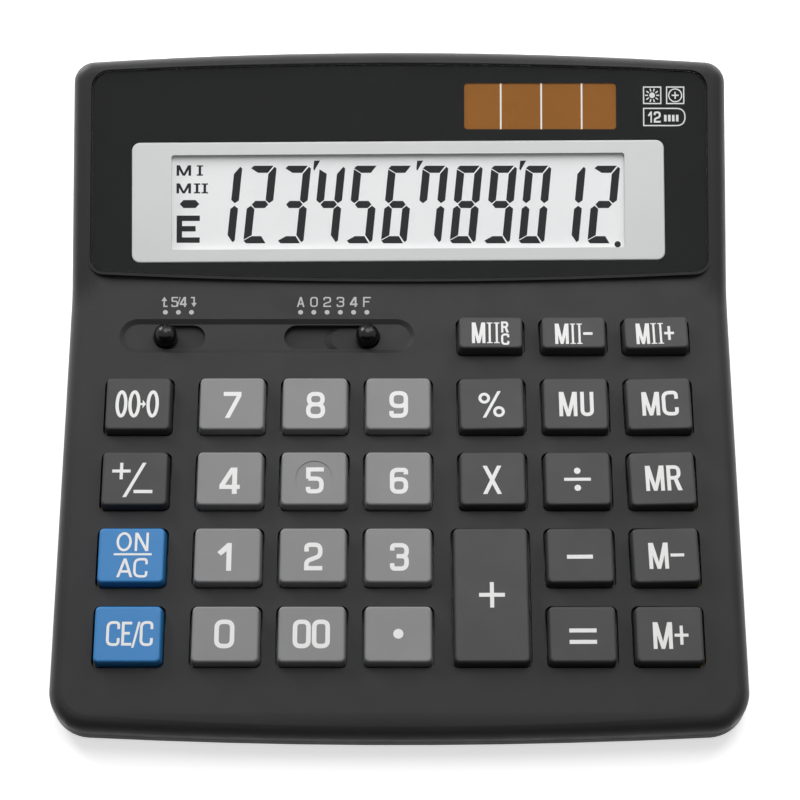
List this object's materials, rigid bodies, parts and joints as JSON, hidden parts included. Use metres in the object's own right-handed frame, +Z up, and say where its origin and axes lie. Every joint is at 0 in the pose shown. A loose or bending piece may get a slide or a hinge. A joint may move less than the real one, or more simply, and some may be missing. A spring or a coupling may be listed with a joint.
{
  "type": "desktop calculator",
  "caption": "Wedge-shaped desktop calculator with a sloping clear display window, solar cell, pressable keys on a shallow keypad, slide switches and rubber feet.",
  "frame": {"origin": "centre of the bounding box in plan, at the level the rubber feet stand on", "axes": "+Z up, front edge with the lowest keys towards -Y, display at the back towards +Y, +X to the right as the user looks at it"},
  "size_m": [0.1562, 0.1624, 0.0358],
  "materials": {
    "case_black": "fine textured satin",
    "case_base_black": "fine textured satin",
    "door_black": "fine textured satin",
    "screw_steel": "plated",
    "foot_rubber": "matt",
    "cell_steel": "bright",
    "contact_metal": "bright",
    "lens_clear": "polished, hard coated",
    "mask_black": "printed",
    "bezel_silver": "satin",
    "cell_glass": "polished",
    "reflector_grey": "satin",
    "retainer_black": "moulded",
    "ribbon_amber": "film",
    "solar_brown": "glossy",
    "board_tan": "laminate",
    "resin_black": "glossy drop",
    "capacitor_black": "sleeved",
    "resistor_black": "glazed",
    "keypad_rubber": "matt",
    "knob_black": "polished",
    "lead_red": "sleeved",
    "lead_black": "sleeved",
    "key_light": "satin",
    "key_dark": "satin",
    "key_blue": "satin"
  },
  "bodies": {
    "case": {"top_cover": "case_black", "bottom_cover": "case_base_black", "battery_door": "door_black", "battery_door_screw": "screw_steel", "case_screws": "screw_steel", "inner_screws": "screw_steel", "rubber_feet": "foot_rubber", "button_cell": "cell_steel", "battery_plus_contact": "contact_metal", "battery_minus_contact": "contact_metal", "display_lens": "lens_clear", "lens_mask": "mask_black", "lcd_bezel": "bezel_silver", "lcd_front_glass": "cell_glass", "lcd_rear_glass": "cell_glass", "lcd_reflector": "reflector_grey", "lcd_retainer": "retainer_black", "lcd_ribbon": "ribbon_amber", "solar_cell": "solar_brown", "main_board": "board_tan", "chip_cover": "resin_black", "board_capacitors": "capacitor_black", "board_resistors": "resistor_black", "rubber_keypad": "keypad_rubber", "solar_leads": "lead_red", "battery_leads": "lead_black"},
    "rounding_slider": {"rounding_knob": "knob_black", "rounding_wiper": "contact_metal"},
    "decimal_slider": {"decimal_knob": "knob_black", "decimal_wiper": "contact_metal"},
    "key_backspace": {"key_backspace": "key_dark"},
    "key_sign": {"key_sign": "key_dark"},
    "key_on_clear": {"key_on_clear": "key_blue"},
    "key_clear_entry": {"key_clear_entry": "key_blue"},
    "key_7": {"key_7": "key_light"},
    "key_8": {"key_8": "key_light"},
    "key_9": {"key_9": "key_light"},
    "key_4": {"key_4": "key_light"},
    "key_5": {"key_5": "key_light"},
    "key_6": {"key_6": "key_light"},
    "key_1": {"key_1": "key_light"},
    "key_2": {"key_2": "key_light"},
    "key_3": {"key_3": "key_light"},
    "key_0": {"key_0": "key_light"},
    "key_00": {"key_00": "key_light"},
    "key_point": {"key_point": "key_light"},
    "key_percent": {"key_percent": "key_dark"},
    "key_multiply": {"key_multiply": "key_dark"},
    "key_plus": {"key_plus": "key_dark"},
    "key_mark_up": {"key_mark_up": "key_dark"},
    "key_divide": {"key_divide": "key_dark"},
    "key_minus": {"key_minus": "key_dark"},
    "key_equals": {"key_equals": "key_dark"},
    "key_memory_clear": {"key_memory_clear": "key_dark"},
    "key_memory_recall": {"key_memory_recall": "key_dark"},
    "key_memory_minus": {"key_memory_minus": "key_dark"},
    "key_memory_plus": {"key_memory_plus": "key_dark"},
    "key_second_recall": {"key_second_recall": "key_dark"},
    "key_second_minus": {"key_second_minus": "key_dark"},
    "key_second_plus": {"key_second_plus": "key_dark"}
  },
  "joints": [
    {"name": "key_backspace_press", "type": "slide", "parent": "case", "child": "key_backspace", "axis": [0, 0.0523, -0.9986], "range_m": [0, 0.0014], "stiffness_N_per_m": 500, "deforming": ["rubber_keypad"]},
    {"name": "key_sign_press", "type": "slide", "parent": "case", "child": "key_sign", "axis": [0, 0.0523, -0.9986], "range_m": [0, 0.0014], "stiffness_N_per_m": 500, "deforming": ["rubber_keypad"]},
    {"name": "key_on_clear_press", "type": "slide", "parent": "case", "child": "key_on_clear", "axis": [0, 0.0523, -0.9986], "range_m": [0, 0.0014], "stiffness_N_per_m": 500, "deforming": ["rubber_keypad"]},
    {"name": "key_clear_entry_press", "type": "slide", "parent": "case", "child": "key_clear_entry", "axis": [0, 0.0523, -0.9986], "range_m": [0, 0.0014], "stiffness_N_per_m": 500, "deforming": ["rubber_keypad"]},
    {"name": "key_7_press", "type": "slide", "parent": "case", "child": "key_7", "axis": [0, 0.0523, -0.9986], "range_m": [0, 0.0014], "stiffness_N_per_m": 500, "deforming": ["rubber_keypad"]},
    {"name": "key_8_press", "type": "slide", "parent": "case", "child": "key_8", "axis": [0, 0.0523, -0.9986], "range_m": [0, 0.0014], "stiffness_N_per_m": 500, "deforming": ["rubber_keypad"]},
    {"name": "key_9_press", "type": "slide", "parent": "case", "child": "key_9", "axis": [0, 0.0523, -0.9986], "range_m": [0, 0.0014], "stiffness_N_per_m": 500, "deforming": ["rubber_keypad"]},
    {"name": "key_4_press", "type": "slide", "parent": "case", "child": "key_4", "axis": [0, 0.0523, -0.9986], "range_m": [0, 0.0014], "stiffness_N_per_m": 500, "deforming": ["rubber_keypad"]},
    {"name": "key_5_press", "type": "slide", "parent": "case", "child": "key_5", "axis": [0, 0.0523, -0.9986], "range_m": [0, 0.0014], "stiffness_N_per_m": 500, "deforming": ["rubber_keypad"]},
    {"name": "key_6_press", "type": "slide", "parent": "case", "child": "key_6", "axis": [0, 0.0523, -0.9986], "range_m": [0, 0.0014], "stiffness_N_per_m": 500, "deforming": ["rubber_keypad"]},
    {"name": "key_1_press", "type": "slide", "parent": "case", "child": "key_1", "axis": [0, 0.0523, -0.9986], "range_m": [0, 0.0014], "stiffness_N_per_m": 500, "deforming": ["rubber_keypad"]},
    {"name": "key_2_press", "type": "slide", "parent": "case", "child": "key_2", "axis": [0, 0.0523, -0.9986], "range_m": [0, 0.0014], "stiffness_N_per_m": 500, "deforming": ["rubber_keypad"]},
    {"name": "key_3_press", "type": "slide", "parent": "case", "child": "key_3", "axis": [0, 0.0523, -0.9986], "range_m": [0, 0.0014], "stiffness_N_per_m": 500, "deforming": ["rubber_keypad"]},
    {"name": "key_0_press", "type": "slide", "parent": "case", "child": "key_0", "axis": [0, 0.0523, -0.9986], "range_m": [0, 0.0014], "stiffness_N_per_m": 500, "deforming": ["rubber_keypad"]},
    {"name": "key_00_press", "type": "slide", "parent": "case", "child": "key_00", "axis": [0, 0.0523, -0.9986], "range_m": [0, 0.0014], "stiffness_N_per_m": 500, "deforming": ["rubber_keypad"]},
    {"name": "key_point_press", "type": "slide", "parent": "case", "child": "key_point", "axis": [0, 0.0523, -0.9986], "range_m": [0, 0.0014], "stiffness_N_per_m": 500, "deforming": ["rubber_keypad"]},
    {"name": "key_percent_press", "type": "slide", "parent": "case", "child": "key_percent", "axis": [0, 0.0523, -0.9986], "range_m": [0, 0.0014], "stiffness_N_per_m": 500, "deforming": ["rubber_keypad"]},
    {"name": "key_multiply_press", "type": "slide", "parent": "case", "child": "key_multiply", "axis": [0, 0.0523, -0.9986], "range_m": [0, 0.0014], "stiffness_N_per_m": 500, "deforming": ["rubber_keypad"]},
    {"name": "key_plus_press", "type": "slide", "parent": "case", "child": "key_plus", "axis": [0, 0.0523, -0.9986], "range_m": [0, 0.0014], "stiffness_N_per_m": 900, "deforming": ["rubber_keypad"]},
    {"name": "key_mark_up_press", "type": "slide", "parent": "case", "child": "key_mark_up", "axis": [0, 0.0523, -0.9986], "range_m": [0, 0.0014], "stiffness_N_per_m": 500, "deforming": ["rubber_keypad"]},
    {"name": "key_divide_press", "type": "slide", "parent": "case", "child": "key_divide", "axis": [0, 0.0523, -0.9986], "range_m": [0, 0.0014], "stiffness_N_per_m": 500, "deforming": ["rubber_keypad"]},
    {"name": "key_minus_press", "type": "slide", "parent": "case", "child": "key_minus", "axis": [0, 0.0523, -0.9986], "range_m": [0, 0.0014], "stiffness_N_per_m": 500, "deforming": ["rubber_keypad"]},
    {"name": "key_equals_press", "type": "slide", "parent": "case", "child": "key_equals", "axis": [0, 0.0523, -0.9986], "range_m": [0, 0.0014], "stiffness_N_per_m": 500, "deforming": ["rubber_keypad"]},
    {"name": "key_memory_clear_press", "type": "slide", "parent": "case", "child": "key_memory_clear", "axis": [0, 0.0523, -0.9986], "range_m": [0, 0.0014], "stiffness_N_per_m": 500, "deforming": ["rubber_keypad"]},
    {"name": "key_memory_recall_press", "type": "slide", "parent": "case", "child": "key_memory_recall", "axis": [0, 0.0523, -0.9986], "range_m": [0, 0.0014], "stiffness_N_per_m": 500, "deforming": ["rubber_keypad"]},
    {"name": "key_memory_minus_press", "type": "slide", "parent": "case", "child": "key_memory_minus", "axis": [0, 0.0523, -0.9986], "range_m": [0, 0.0014], "stiffness_N_per_m": 500, "deforming": ["rubber_keypad"]},
    {"name": "key_memory_plus_press", "type": "slide", "parent": "case", "child": "key_memory_plus", "axis": [0, 0.0523, -0.9986], "range_m": [0, 0.0014], "stiffness_N_per_m": 500, "deforming": ["rubber_keypad"]},
    {"name": "key_second_recall_press", "type": "slide", "parent": "case", "child": "key_second_recall", "axis": [0, 0.0523, -0.9986], "range_m": [0, 0.0014], "stiffness_N_per_m": 500, "deforming": ["rubber_keypad"]},
    {"name": "key_second_minus_press", "type": "slide", "parent": "case", "child": "key_second_minus", "axis": [0, 0.0523, -0.9986], "range_m": [0, 0.0014], "stiffness_N_per_m": 500, "deforming": ["rubber_keypad"]},
    {"name": "key_second_plus_press", "type": "slide", "parent": "case", "child": "key_second_plus", "axis": [0, 0.0523, -0.9986], "range_m": [0, 0.0014], "stiffness_N_per_m": 500, "deforming": ["rubber_keypad"]},
    {"name": "rounding_slide", "type": "slide", "parent": "case", "child": "rounding_slider", "axis": [1, 0, 0], "range_m": [0, 0.00628]},
    {"name": "decimal_slide", "type": "slide", "parent": "case", "child": "decimal_slider", "axis": [1, 0, 0], "range_m": [-0.0157, 0]}
  ]
}
